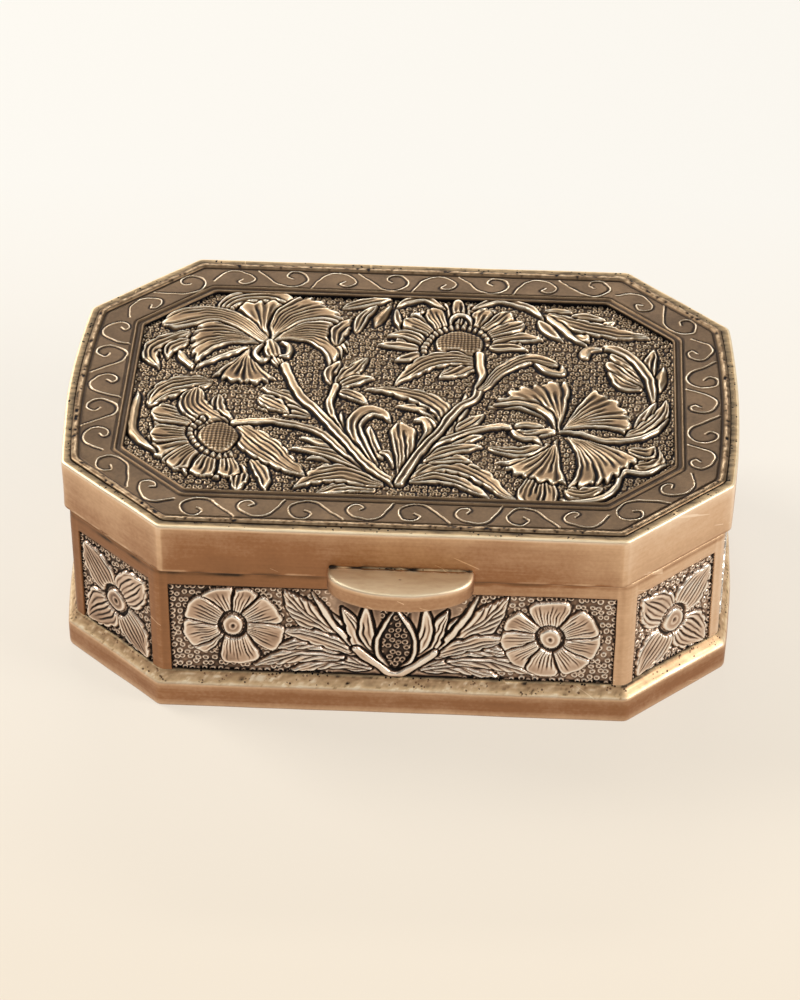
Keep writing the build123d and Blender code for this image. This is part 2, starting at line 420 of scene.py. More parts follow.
def swept_points(rows, places, wave=1.0):
    """Points and tones of a profile swept round: rows are (plan, inset, height, tone, bow)."""
    points = np.zeros((len(rows), len(places), 3))
    tones = np.zeros((len(rows), len(places)))
    for number, (plan, inset, height, tone, bow) in enumerate(rows):
        ring = outline_ring(plan, inset, bow, places)[0]
        off = wave * hand_made(ring[:, 0], ring[:, 1], np.full(len(ring), height))
        points[number, :, :2] = ring * (1 - np.abs(off) / MEAN_REACH)[:, None]
        points[number, :, 2] = height
        tones[number] = tone
    return points, tones


def cut_seats(points):
    """Clears the room that the hinge barrel turns in, behind the box."""
    level = points[..., 2] - HINGE_Z
    chord = np.sqrt(np.clip(SEAT_RADIUS**2 - level**2, 0, None))
    near = (np.abs(points[..., 0]) < HINGE_HALF) & (points[..., 1] > 0) & (chord > 0)
    points[..., 1] = np.where(near, np.minimum(points[..., 1], HINGE_Y - chord), points[..., 1])


# How much lighter each cut corner and side is painted, counter-clockwise from the front: painted light, as
# if the lamps lit some sides more than others
SIDE_PAINTED_LIGHT = np.array([0.0, 0.18, 0.04, 0.08, 0.0, 0.08, 0.04, 0.06])
# Painted light from the right: how much lighter the front is at its right end than in its middle,
# and the walls and plates for each millimetre further right
FRONT_LEAN = 0.05
WALL_LEAN = 0.09 / 40
PLATE_LEAN = 0.05 / 40


def side_light_and_wear(plan, places):
    """Tone change of each column: painted light that differs from side to side and, on the front, grows to
    the right; random unevenness; and lighter upright edges, partly wear and partly a painted highlight.
    """
    sides = places[:, 0].astype(int)
    lean = np.where(sides == 0, FRONT_LEAN * places[:, 1], 0.0)
    along = sides * 40 + places[:, 1] * side_frames(plan, 0)[3][sides] / 2
    # Upright edges lighter: partly wear, partly a painted highlight.
    edge_wear_and_sheen = 0.12 * np.exp(-(corner_distance(plan, places) / 0.9))
    return 0.04 * lumps(along, 0 * along, 9.0, 3) - SIDE_PAINTED_LIGHT[sides] - lean - edge_wear_and_sheen


# Chasing: raised, grooved and punched shapes drawn over a surface, in millimetres
MOAT = 0.5
EDGE = 0.30
RIB_DEPTH = 0.60
RIB_SPACING = 0.98
LOBE_RIB_SPACING = 0.78
FULLNESS = 1.22
SPINE_STEP = 0.25
WAVER = 0.24
SCALLOP = 2.3
NOTCH_PITCH = 3.0
NOTCH_DEPTH = 0.38
NOTCHED_WIDTH = 2.8
VEIN_PITCH = 0.95
VEIN_SLANT = 0.30
MIDRIB = 0.34
FIELD_RINGS = 1.08
PLATE_RINGS = 1.32
PUNCHES = 260


def smooth_line(points):
    """A smooth line through given points, as closely spaced points."""
    points = np.array(points, float)
    padded = np.vstack([2 * points[0] - points[1], points, 2 * points[-1] - points[-2]])
    pieces = []
    for before, start, end, after in zip(padded, padded[1:], padded[2:], padded[3:]):
        count = max(2, int(np.linalg.norm(end - start) / SPINE_STEP))
        t = np.linspace(0, 1, count, endpoint=False)[:, None]
        curve = 2 * start + (end - before) * t + (2 * before - 5 * start + 4 * end - after) * t**2
        curve += (3 * start - before - 3 * end + after) * t**3
        pieces.append(curve / 2)
    return np.vstack(pieces + [points[-1:]])


def width_share(kind, s):
    """How the half width runs from root, 0, to tip, 1."""
    if kind in ("leaf", "vein"):
        return np.sin(np.pi * s**0.8) ** 0.75
    if kind in ("petal", "lobe"):
        return (0.3 + 0.7 * s**0.8) * np.sqrt(1 - (np.clip(s - 0.8, 0, None) / 0.2) ** 2)
    if kind == "band":
        return np.clip(np.minimum(s, 1 - s) / 0.25, 0, 1) ** 0.5
    return np.ones_like(s)


def box_blur(values, radius):
    """The mean over a square round each place."""
    for axis in (0, 1):
        pads = [(radius + 1, radius) if axis == number else (0, 0) for number in (0, 1)]
        total = np.cumsum(np.pad(values, pads, mode="edge"), axis=axis)
        count = values.shape[axis]
        width = 2 * radius + 1
        low = np.take(total, range(count), axis=axis)
        values = (np.take(total, range(width, width + count), axis=axis) - low) / width
    return values


class Chasing:
    """A height map over places x, y that shapes are laid on in turn, the last on top."""

    def __init__(self, x, y, spacing, seed, sharpness=1.5):
        self.seed = seed
        self.sharpness = sharpness
        self.x = x + WAVER * (lumps(x, y, 3.1, seed) + 0.5 * lumps(x, y, 1.3, seed + 50))
        self.y = y + WAVER * (lumps(x, y, 3.1, seed + 100) + 0.5 * lumps(x, y, 1.3, seed + 150))
        self.rib_depth = RIB_DEPTH * (0.82 + 0.45 * lumps(x, y, 2.4, seed + 300))
        self.height = self.punched_ground(spacing) if spacing else np.zeros_like(x)

    def punched_ground(self, spacing):
        """Ring punches side by side, each with a dot in its middle and dark gaps between."""
        shift = np.random.default_rng(self.seed).uniform(-0.24, 0.24, (PUNCHES, PUNCHES, 2))
        column = np.floor(self.x / spacing).astype(int)
        row = np.floor(self.y / spacing).astype(int)
        nearest = np.full(self.x.shape, 9.0)
        for dx in (-1, 0, 1):
            for dy in (-1, 0, 1):
                offset = shift[(column + dx) % PUNCHES, (row + dy) % PUNCHES]
                stagger = 0.25 * ((row + dy) % 2)
                centre_x = (column + dx + 0.5 + stagger + offset[..., 0]) * spacing
                centre_y = (row + dy + 0.5 + offset[..., 1]) * spacing
                nearest = np.minimum(nearest, np.hypot(self.x - centre_x, self.y - centre_y))
        share = nearest / spacing
        return 0.02 + 0.36 * bell(share - 0.30, 0.09) + 0.18 * bell(share, 0.10)

    def near(self, points, margin):
        """The places within a margin of the box round some points."""
        low = points.min(0) - margin
        high = points.max(0) + margin
        inside = (self.x > low[0]) & (self.x < high[0]) & (self.y > low[1]) & (self.y < high[1])
        return np.nonzero(inside)

    def round_places(self, centre, margin):
        """The places near a centre, and their distances from it in x and y."""
        found = self.near(np.array([centre, centre]), margin)
        return found, self.x[found] - centre[0], self.y[found] - centre[1]

    def line_places(self, spine, margin):
        """For each place near a line: distance, signed distance across, share along, and its length."""
        found = self.near(spine, margin)
        x = self.x[found].astype(np.float32)
        y = self.y[found].astype(np.float32)
        across_x = x[:, None] - spine[:, 0].astype(np.float32)
        across_y = y[:, None] - spine[:, 1].astype(np.float32)
        nearest = np.argmin(across_x**2 + across_y**2, axis=1)
        pick = np.arange(len(x))
        off_x = across_x[pick, nearest]
        off_y = across_y[pick, nearest]
        run = np.gradient(spine, axis=0)
        run /= np.linalg.norm(run, axis=1, keepdims=True) + 1e-9
        run = run[nearest]
        lengths = np.concatenate([[0], np.cumsum(np.linalg.norm(np.diff(spine, axis=0), axis=1))])
        share = (lengths[nearest] + off_x * run[:, 0] + off_y * run[:, 1]) / lengths[-1]
        across = off_x * run[:, 1] - off_y * run[:, 0]
        return found, np.hypot(off_x, off_y), across, np.clip(share, 0, 1), lengths[-1]

    def lay(self, found, gap, height):
        """Lays a shape: gap is the distance inside its edge, negative outside, where a moat is cut."""
        moat = np.clip(-gap / MOAT, 0, 1)
        old = self.height[found]
        beside = np.where(gap > -MOAT, old * moat - 0.14 * (1 - moat), old)
        raised = height * (0.25 + 0.75 * smooth_step(gap / EDGE))
        self.height[found] = np.where(gap > 0, raised, beside)

    def groove_depths(self, u, ribs, share):
        """Each groove as its own cut: some deep, some faint, and some ending short of the tip."""
        number = np.round((u + 1) * ribs / 2)
        cuts = (0.5 + 0.5 * np.cos(np.pi * (u + 1) * ribs)) ** self.sharpness
        deep = 0.80 + 0.36 * np.sin(2.4 * number + 1.7 * ribs + self.seed)
        end = 0.90 + 0.22 * np.sin(1.9 * number + 0.8 * ribs)
        return cuts * deep * np.clip((end - share) / 0.16, 0, 1)

    def vein_depths(self, across, along):
        """Veins that slant off a midrib."""
        off = np.abs(across)
        lines = 1 - ripple(off - VEIN_SLANT * along, VEIN_PITCH)
        return np.maximum(0.8 * lines**self.sharpness * (off > MIDRIB), bell(off - MIDRIB, 0.16))

    def stroke(self, kind, width, ribs, points, height=0.85):
        """A stem, leaf, petal or band along a line, with grooves that run its length."""
        if kind in ("leaf", "petal"):
            width *= FULLNESS
        if ribs > 1:
            spacing = LOBE_RIB_SPACING if kind == "lobe" else RIB_SPACING
            ribs = max(2, int(round(width / spacing)))
        spine = smooth_line(points)
        found, distance, across, share, length = self.line_places(spine, width / 2 + 1)
        half = np.maximum(width / 2 * width_share(kind, share), 0.05)
        u = np.clip(across / half, -1, 1)
        gap = half - distance
        if kind == "vein":
            grooves = self.vein_depths(across, share * length)
        elif ribs:
            grooves = self.groove_depths(u, ribs, share) * np.clip(1.6 - np.abs(u), 0, 1)
        if kind == "lobe":
            grooves *= 1.1 * np.clip((0.94 - share) / 0.45, 0, 1)
        if kind == "bead":
            body = 0.62 + 0.38 * np.cos(share * len(spine) * SPINE_STEP * 5.6) - 0.2 * u**2
        elif ribs:
            body = 0.95 + 0.05 * u**2 - self.rib_depth[found] * grooves
        else:
            body = 1.0 - 0.40 * u**2
        if kind in ("leaf", "vein", "petal"):
            body = body * (0.82 + 0.18 * share)
        if kind == "leaf" and width > NOTCHED_WIDTH:
            notches = ripple(share * length - np.abs(across), NOTCH_PITCH)
            gap = gap - NOTCH_DEPTH * notches**2 * np.clip(half - 0.8, 0, 1)
        if kind in ("petal", "lobe"):
            gap = gap - 0.45 * ripple(across, SCALLOP) * np.clip((share - 0.65) / 0.2, 0, 1)
        self.lay(found, gap, height * body)

    def fan(self, hub, radius, axis, spread, ribs, bend, height=0.85):
        """A pleated petal: ribs that leave a hub, bend to one side and end in a notched edge."""
        found, x, y = self.round_places(hub, radius + 1)
        reach = np.hypot(x, y)
        share = reach / radius
        turn = np.degrees(np.arctan2(y, x)) - axis - bend * share**2
        turn = (turn + 180) % 360 - 180
        half_angle = spread * (0.62 + 0.38 * share)
        u = turn / half_angle
        grooves = self.groove_depths(u, ribs, share - 0.10)
        sideways = (1 - np.abs(u)) * np.radians(half_angle) * reach
        rim = radius * (1 - 0.07 * grooves + 0.03 * np.cos(2.3 * u * ribs)) - reach
        depth = self.rib_depth[found] * np.clip(0.45 + share, 0, 1)
        body = (0.98 - depth * grooves) * (0.78 + 0.22 * share)
        self.lay(found, np.minimum(sideways, rim), height * body)

    def disc(self, centre, radii, pitch=0.95, height=0.95):
        """A domed disc cut across in two directions, as a flower's middle."""
        found, x, y = self.round_places(centre, max(radii) + 1)
        size = np.hypot(x / radii[0], y / radii[1])
        cuts = np.cos(2 * np.pi * (x + y) / pitch / 1.41) * np.cos(2 * np.pi * (x - y) / pitch / 1.41)
        body = 1.0 - 0.35 * size**2 - 0.22 * (0.5 - 0.5 * cuts)
        self.lay(found, (1 - size) * min(radii), height * body)

    def boss(self, centre, radii, height=0.8):
        """A raised ring with a dot in a hole, inside a wide dark moat."""
        found, x, y = self.round_places(centre, max(radii) + 2)
        size = np.hypot(x / radii[0], y / radii[1])
        moat = bell(size - 1.22, 0.17, 4)
        self.height[found] = self.height[found] * (1 - moat) - 0.12 * moat
        ring = 0.16 * bell(size - 0.30, 0.10) - 0.20 * bell(size, 0.14)
        body = height * (0.9 + 0.1 * size**2 + ring)
        inside = size < 1.04
        picked = tuple(axis[inside] for axis in found)
        self.lay(picked, ((1 - size) * min(radii))[inside], body[inside])

    def engrave(self, points, width, depth):
        """A cut line with a slight burr along one side."""
        found, distance, across, _, _ = self.line_places(smooth_line(points), width * 2 + 0.4)
        burr = bell(across - width * 0.85, width * 0.45) * (distance < width * 1.6)
        self.height[found] += 0.9 * depth * burr - depth * bell(distance, width / 2)

    def draw(self, shapes, mirror=None):
        """Lays fans, discs and strokes in turn; strokes are mirrored in an x if one is given."""
        for kind, *sizes in shapes:
            if kind == "fan":
                self.fan(*sizes)
            elif kind == "disc":
                self.disc(*sizes)
            else:
                width, ribs, *points = sizes
                if mirror is not None:
                    points = [(2 * mirror - x, y) for x, y in points]
                self.stroke(kind, width, ribs, points)

    def tones(self, strength, ground):
        """Tones: dark where the surface lies below what is round it, light where above; partly the patina
        and polish of chased brass, partly painted shade in the hollows and painted highlights on the crests.
        """
        soft = self.softened(0.55)
        fine = self.softened(0.25)
        # Low ground darker: patina and painted shade.
        low = np.clip(1 - soft / 0.35, 0, 1)
        patina = 0.07 * lumps(self.x, self.y, 5.0, self.seed + 200)
        patina += 0.05 * lumps(self.x, self.y, 1.7, self.seed + 250)
        relief = 0.38 * strength * (soft - self.height) + 1.25 * strength * (fine - self.height)
        return np.clip(0.44 + patina + ground * low + relief, 0, 1)

    def softened(self, reach):
        radius = max(1, int(round(reach / SHEET_STEP)))
        return box_blur(box_blur(self.height, radius), radius)


# The spray on the lid, its lowest layer first. Strokes are kind, width, grooves and the points
# of their line; grooves are 0 for none, 1 for one along each edge and 2 for as many as fit.
# Fans are hub, radius, axis and half spread in degrees, ribs, and bend in degrees.
LID_SPRAY = [
    # Leaves at the foot and along the stems
    ("leaf", 3.6, 2, (1, -24), (5, -20), (9, -18.8), (14, -21.5), (18, -26), (21, -28)),
    ("leaf", 2.6, 2, (2, -23.5), (7, -22.4), (12, -24.2), (16, -28)),
    ("leaf", 2.2, 2, (5, -18.5), (9, -17), (13, -18)),
    ("leaf", 3.0, 2, (-1, -23.5), (-5, -19.8), (-10, -17.6), (-16, -18.5)),
    ("leaf", 2.4, 2, (-3, -22.5), (-8, -20.3), (-15, -21)),
    ("leaf", 3.0, 2, (-3, -26), (-8, -25.5), (-14, -28)),
    ("leaf", 4.4, 2, (-2, -24.8), (-8, -22.3), (-13, -22.8), (-17.5, -26.2)),
    ("leaf", 3.0, 2, (-15.5, -6), (-19.5, -2), (-25, 0.8)),
    ("leaf", 2.8, 2, (-15.5, -7), (-20, -5.2), (-25.4, -4.6)),
    ("leaf", 2.2, 2, (-4, -21.5), (-10, -15.8), (-17.5, -12.4)),
    ("leaf", 2.2, 2, (-5, -21.2), (-11, -17.2), (-19, -15.4)),
    ("leaf", 1.9, 2, (-6, -18), (-9.6, -11), (-10.4, -4.6)),
    ("leaf", 2.0, 2, (7.6, -8), (10.4, -3.6), (10.6, 1.4)),
    ("leaf", 2.2, 2, (6, -14), (11, -12), (14.6, -10.6)),
    ("leaf", 2.2, 2, (4, -18), (9, -14.6), (14.5, -13.6)),
    # Low left daisy and the leaves round it
    ("fan", (-31.5, -12.8), 11.4, 212, 78, 17, 0),
    ("leaf", 3.0, 2, (-27.5, -20), (-26.5, -24), (-27, -28)),
    ("leaf", 2.5, 2, (-25, -19), (-22.5, -23), (-22, -27.5)),
    ("petal", 4.6, 2, (-33.5, -10.5), (-38, -8.3), (-43, -7)),
    ("petal", 4.8, 2, (-34, -12.8), (-38.5, -13), (-42.8, -13)),
    ("petal", 4.8, 2, (-33.5, -15.5), (-36.5, -18.5), (-38.2, -22)),
    ("petal", 4.2, 2, (-31.5, -17), (-32.6, -20.5), (-33.2, -24.2)),
    ("petal", 4.0, 2, (-29, -17), (-28.8, -20.5), (-28.4, -24)),
    ("band", 2.0, 1, (-46, -1), (-46.2, -6), (-46, -12), (-43.5, -15.8), (-41, -18)),
    ("leaf", 4.8, 2, (-33.5, 2), (-38.5, 0.8), (-42.4, -2.2), (-43.6, -6)),
    ("leaf", 2.6, 2, (-32, -1.5), (-31.5, -6), (-28.5, -9)),
    ("leaf", 4.6, 2, (-36.4, 0.4), (-36, -5), (-33, -8), (-29, -9.5)),
    ("leaf", 3.2, 2, (-25.2, -1.6), (-22.5, -3.6), (-19.5, -6.2)),
    ("leaf", 2.2, 2, (-27.5, -11), (-23, -14), (-19.5, -17)),
    ("leaf", 5.4, 2, (-28.5, -9.5), (-25.5, -13.2), (-20.5, -18.4), (-15.6, -23.2)),
    # Left flower
    ("leaf", 3.4, 2, (-38.5, 16), (-43, 13), (-45.2, 9.5), (-43, 5)),
    ("leaf", 2.4, 2, (-38.4, 14), (-41.5, 11.5), (-42, 8)),
    ("band", 1.8, 0, (-40, 10.6), (-38.8, 8), (-36.5, 5.5)),
    ("band", 4.0, 2, (-34.5, 21.8), (-31, 26.2), (-26, 27.4), (-19.5, 25.4)),
    ("fan", (-24.9, 13.6), 12.2, 100, 22, 5, 0),
    ("fan", (-24.2, 14.2), 13.4, 34, 30, 9, -42),
    ("fan", (-27.5, 12.8), 10.8, 261, 32, 8, 6),
    ("fan", (-24.6, 13.4), 13.4, 152, 31, 10, 26),
    ("fan", (-24.4, 14.0), 14.6, 76, 25, 8, -30),
    ("petal", 4.8, 2, (-25.3, 14.4), (-30, 19.5), (-36, 21.6), (-43.8, 18)),
    ("band", 1.2, 0, (-27.5, 12.6), (-33, 9), (-37, 5.8)),
    ("petal", 3.2, 2, (-21, 6.3), (-22.8, 9.5), (-24.6, 14.4)),
    ("band", 1.3, 0, (-22.5, 14), (-20.6, 12.4), (-20.8, 10), (-22.4, 9.6)),
    ("band", 1.3, 0, (-25.4, 13.4), (-26.6, 10.6), (-25.2, 8.4), (-23.6, 9.4)),
    # Buds and leaves at the upper right
    ("leaf", 1.7, 1, (24, 26), (26.5, 26), (29.5, 25.4)),
    ("leaf", 2.0, 2, (28, 23.5), (31, 24.2), (35.5, 23.2)),
    ("leaf", 1.5, 1, (29, 23), (31.5, 22.5), (34.4, 22.2)),
    ("leaf", 1.6, 1, (34.2, 21.2), (35.6, 22.2), (37, 22.8)),
    ("leaf", 2.6, 2, (29.6, 20), (31, 18.4), (32.2, 16.8)),
    ("leaf", 2.0, 2, (23, 22.6), (25.2, 19.4), (27.6, 16.6)),
    ("leaf", 3.4, 2, (24, 25), (30, 21.6), (36, 19.8), (43.4, 18.4)),
    ("band", 1.6, 1, (18, 27.8), (23.5, 24.5), (27.6, 20.4), (29.6, 17.4), (32, 15.6)),
    ("petal", 3.2, 2, (42.2, 5.2), (40.6, 9.2), (36, 13.4)),
    ("petal", 2.8, 2, (41.6, 4.8), (38.8, 7.2), (35.2, 11)),
    ("leaf", 2.2, 2, (41.6, 3.8), (38, 5), (35.3, 8.6)),
    ("leaf", 2.2, 2, (42.4, 6), (42.6, 11), (43.8, 15.8)),
    ("leaf", 2.2, 1, (43.2, 3), (44.6, 6.4), (45.2, 10.6)),
    ("band", 1.9, 2, (43.2, -1), (43, 4), (41.8, 9), (39, 13.4), (35.3, 15.2), (31.4, 14.6)),
    ("petal", 2.4, 0, (34, 15), (31.8, 14.4), (31.5, 12)),
    # Leaves between the left flower and the top daisy
    ("leaf", 2.8, 2, (-12.5, 13.5), (-12, 18), (-9, 22)),
    ("leaf", 2.2, 2, (-9.5, 17.5), (-8.3, 22), (-5.8, 26.3)),
    ("leaf", 1.7, 1, (-5.8, 19.5), (-4.8, 23), (-3.2, 26)),
    ("leaf", 2.2, 2, (-12.5, 24.6), (-8.5, 26.3), (-3, 28)),
    ("leaf", 2.4, 2, (-12, 2), (-13, 5.2), (-11.2, 9)),
    ("leaf", 3.0, 2, (-12, 2), (-9.5, 6), (-6.5, 10.3)),
    ("leaf", 2.4, 2, (-12, 1.5), (-8.5, 3.6), (-5, 4.4)),
    ("leaf", 2.4, 2, (-11.5, 0.5), (-8.5, -0.8), (-5.8, -3)),
    # The low daisy's middle
    ("disc", (-31, -13.2), (3.4, 4.2)),
    ("bead", 1.3, 0, (-34.3, -8.6), (-36, -12), (-34, -16), (-31, -18.3), (-27.8, -18)),
    # Top daisy
    ("fan", (9.0, 15.4), 11.6, 90, 96, 22, 0),
    ("leaf", 2.8, 2, (13.8, 15.3), (19, 17.4), (24.2, 17)),
    ("leaf", 2.0, 2, (14.5, 14.3), (18, 14.6), (21.5, 14)),
    ("band", 1.8, 2, (-2.5, 25), (-1.8, 21), (0.5, 17.8), (3, 15.5)),
    ("band", 1.8, 2, (-2.5, 25.2), (-0.5, 27.2), (3, 27.8), (6.5, 25)),
    ("band", 2.0, 2, (11, 25.5), (15, 28), (18, 28), (22, 25.8), (24, 23)),
    ("petal", 3.8, 2, (6, 18), (5.5, 21), (3.8, 25)),
    ("petal", 3.6, 2, (5, 17), (2.5, 19.3), (-1, 21.3)),
    ("petal", 4.0, 2, (11.5, 18), (12.5, 21.5), (13.6, 25)),
    ("petal", 3.8, 2, (12.5, 18), (15.3, 21.2), (18, 24.6)),
    ("petal", 3.4, 2, (13, 17), (16.5, 19.5), (20.5, 21.6)),
    ("petal", 2.8, 2, (8.8, 20.5), (8.8, 24), (8.8, 28)),
    ("band", 1.2, 0, (7.3, 20.5), (7.9, 22.8), (9.3, 23.5), (10.7, 22.6), (11.2, 20.5)),
    ("leaf", 2.2, 2, (3.5, 15), (0, 17.3), (-3.8, 17)),
    ("leaf", 2.0, 2, (2.6, 13.3), (-1.5, 14.2), (-5.5, 14)),
    ("leaf", 2.0, 2, (3.8, 11.8), (1, 11), (-2.2, 9.6)),
    ("disc", (9.2, 14.9), (4.4, 3.9)),
    ("bead", 1.3, 0, (3.3, 11.5), (3.1, 14.5), (5.2, 18.3), (8.8, 20.1), (12.6, 19), (14.4, 16.2)),
    ("leaf", 3.2, 2, (13, 10), (10, 8), (6, 4.8)),
    ("leaf", 3.8, 2, (13.4, 9.8), (8, 10.8), (3, 8.6), (-1.8, 2.8)),
    # Right flower
    ("petal", 7.0, 2, (24.2, -19.5), (24, -24), (23.6, -28.8)),
    ("leaf", 3.0, 2, (28, -24.5), (31.5, -25.4), (35, -23.6)),
    ("leaf", 3.4, 2, (40, -17.6), (43, -16.6), (44.4, -13)),
    ("leaf", 2.6, 2, (39, -13), (42, -14.2), (43.8, -12.2)),
    ("band", 1.3, 0, (27.4, -26.2), (29.5, -27.6), (34, -26.6), (36.8, -23.4), (38.2, -19.4),
      (42, -19.2), (46, -16)),
    ("fan", (27.0, -10.4), 12.6, 252, 31, 8, -6),
    ("fan", (27.8, -10.0), 13.8, -36, 32, 9, -20),
    ("fan", (27.4, -8.4), 12.6, 42, 36, 9, -14),
    ("fan", (27.2, -8.4), 13.2, 104, 36, 9, 16),
    ("leaf", 2.4, 2, (15, -14), (20.5, -14.8), (26, -12)),
    ("leaf", 2.2, 2, (40, -9), (41.6, -5), (43.8, 0.4)),
    ("leaf", 3.0, 2, (38.5, -9.6), (42.6, -6.6), (45, -2.5), (45.8, 1.4)),
    ("band", 1.3, 0, (26, -8.8), (30, -9.2), (35, -10.8), (40, -10.2), (44, -7.6), (46.2, -3.6)),
    ("band", 1.6, 0, (26.4, -8), (25, -3.8), (20.8, -1.2), (15.6, -2.2)),
    ("petal", 2.6, 2, (17.8, -8), (21.5, -9.6), (26.6, -9)),
    ("band", 1.5, 0, (24.8, -8), (21.8, -7.2), (19, -8)),
    ("band", 1.6, 0, (18.6, -8.6), (20.8, -10.8), (23, -11), (24.6, -12.6)),
    # Heart in the middle, and the stems
    ("leaf", 2.6, 2, (6.4, -13), (7.0, -8), (4.4, -4), (-1.4, -3)),
    ("leaf", 3.4, 2, (8.4, -11), (8, -6), (5, -1.6), (-1, 0.6), (-7, 1.2)),
    ("leaf", 2.4, 2, (9.5, -9.2), (12, -7), (14.3, -4.8)),
    ("leaf", 2.2, 2, (-2.6, -18), (-5, -13), (-5.2, -8.5)),
    ("band", 3.2, 2, (-3.5, -20), (-6.3, -15), (-7.8, -9.5), (-7.0, -5.8), (-5, -4.7),
      (-2.8, -5.8), (-1.8, -7.6)),
    ("leaf", 1.8, 2, (-3.4, -15.8), (-1.3, -16.6), (-0.6, -20)),
    ("band", 2.8, 2, (2, -19), (4.6, -13), (5.2, -9.5), (4.0, -7), (2, -7)),
    ("petal", 4.2, 2, (0.9, -22), (0.9, -15), (0, -8)),
    ("stem", 1.6, 2, (-5.5, -19), (-10.5, -10), (-12.5, -3), (-12, 2)),
    ("stem", 1.6, 2, (-3, -22), (-9, -16.5), (-14, -11), (-20, -9), (-24, -8.5), (-28.5, -9.2)),
    ("stem", 1.9, 2, (-0.5, -24), (-5, -19.5), (-10, -12), (-14, -6), (-18, -1), (-21, 7)),
    ("stem", 1.6, 2, (2, -19.5), (6, -13.5), (12, -9.5), (17, -8), (18.6, -8.1)),
    ("stem", 1.9, 2, (0.5, -24), (2.5, -18), (7, -9), (10, -3), (12.5, 0), (13.5, 5), (13.2, 8),
      (13, 12)),
    ("petal", 3.4, 2, (13.6, 2.6), (17.6, 8.6), (22.0, 11.2), (26.8, 9.8)),
    ("band", 1.5, 0, (27.2, 10.2), (27.2, 7.6), (24.6, 8.2), (22.6, 9.8)),
]

# The border's running scroll in shares of its unit: along, then up from the inner frame
SCROLL_ARCH = [
    (0.00, 0.05), (0.12, 0.45), (0.30, 0.85), (0.55, 0.98), (0.85, 0.80), (0.99, 0.48),
    (0.90, 0.16), (0.72, 0.08), (0.60, 0.26), (0.68, 0.42),
]
SCROLL_DIP = [
    (-0.04, 0.98), (0.18, 0.60), (0.42, 0.18), (0.70, 0.06), (0.93, 0.25), (1.00, 0.55),
    (0.88, 0.86), (0.70, 0.90), (0.60, 0.70), (0.68, 0.58),
]
SCROLL_LOW = 8.0
SCROLL_HIGH = 3.3
SCROLL_UNITS = (8, 2, 5, 2, 8, 2, 5, 2)
ARCH_LENGTH = 0.9

# The wall plates, in millimetres from the middle of each side and above the table
PANEL_NAMES = ["front", "front_right", "right", "back_right", "back", "back_left", "left", "front_left"]
PALMETTE_MIDDLE = 0.6
FRONT_LEAVES = [
    ("vein", 3.4, 2, (-3.5, 8.6), (-9.5, 10), (-17.5, 7.8)),
    ("vein", 3.8, 2, (-8, 11), (-16, 11.6), (-23.8, 8.4)),
    ("vein", 3.2, 2, (-7.5, 12), (-13.5, 14), (-20.4, 13)),
    ("vein", 6.8, 2, (-4.5, 11.5), (-9.5, 16.2), (-14.5, 20.6), (-18.3, 26)),
    ("leaf", 3.0, 2, (-6, 12.2), (-12, 15.2), (-19.2, 16.9)),
    ("band", 1.4, 0, (-2.2, 8.6), (-6, 13.4), (-10.4, 19.4), (-13.4, 25.8)),
    ("leaf", 3.2, 2, (-1.5, 9), (-4.6, 14), (-8.4, 22.5)),
    ("leaf", 2.2, 2, (-2.6, 12), (-4.4, 17), (-4.6, 23.5)),
]
FRONT_MIDDLE = [
    ("band", 1.0, 0, (0.4, 8), (-2.4, 12), (-2.2, 17), (0.6, 22.4)),
    ("band", 1.0, 0, (0.8, 8), (3.6, 12), (3.4, 17), (0.6, 22.4)),
    ("stem", 1.7, 0, (-6, 13), (-2.6, 9.6), (0.6, 7.7), (3.8, 9.6), (7.2, 13)),
]
END_LEAVES = [
    ("vein", 3.4, 2, (7, 11), (13, 9.6), (19.5, 8.4)),
    ("vein", 3.4, 2, (7, 22), (13, 23.6), (19.5, 25)),
    ("vein", 5.4, 2, (6, 16.8), (13, 18.6), (19.8, 16.8)),
]
# Each petal's angle in degrees and its width
LEFT_ROSETTE = [
    (110, 6.4), (72, 5.0), (30, 7.4), (-20, 7.2),
    (-82, 8.6), (-145, 5.6), (195, 7.0), (150, 6.6),
]
RIGHT_ROSETTE = [
    (92, 8.6), (150, 5.6), (188, 5.6), (222, 6.0),
    (262, 6.6), (-52, 6.8), (-8, 7.0), (32, 7.2),
]


def heading(angle):
    """The direction at an angle in degrees."""
    return np.array([math.cos(math.radians(angle)), math.sin(math.radians(angle))])


def add_rosette(chasing, centre, petals, reaches, kind="lobe", hub=(1.8, 2.3)):
    """Petals with radial grooves round a ring boss: petals are (angle, width)."""
    for angle, width in petals:
        points = [np.array(centre) + heading(angle) * reach for reach in reaches]
        chasing.stroke(kind, width, 2, points, 0.8)
    chasing.boss(centre, hub)


def front_plate(chasing):
    """Leaves on plain ground round an almond of punches, between two rosettes."""
    off = np.abs(chasing.x - PALMETTE_MIDDLE)
    plain = smooth_step((13.0 - off) / 3) * smooth_step((off - 2.2) / 0.6)
    chasing.height += (0.26 - chasing.height) * plain
    chasing.draw(FRONT_LEAVES)
    chasing.draw(FRONT_LEAVES, PALMETTE_MIDDLE)
    chasing.draw(FRONT_MIDDLE)
    add_rosette(chasing, (-27.0, 17.7), LEFT_ROSETTE, (1.8, 5, 8.6))
    add_rosette(chasing, (26.8, 17.0), RIGHT_ROSETTE, (1.8, 5, 8.4))


def palmette_shade(x, z, height):
    """Browner plain ground beside the palmette, and a darker almond inside it."""
    off = np.abs(x - PALMETTE_MIDDLE)
    almond = bell(off, 2.3, 4) * bell(z - 14.5, 6, 4)
    beside = smooth_step((12.0 - off) / 3)
    return (0.08 * almond + 0.14 * beside) * smooth_step((0.6 - height) / 0.2)


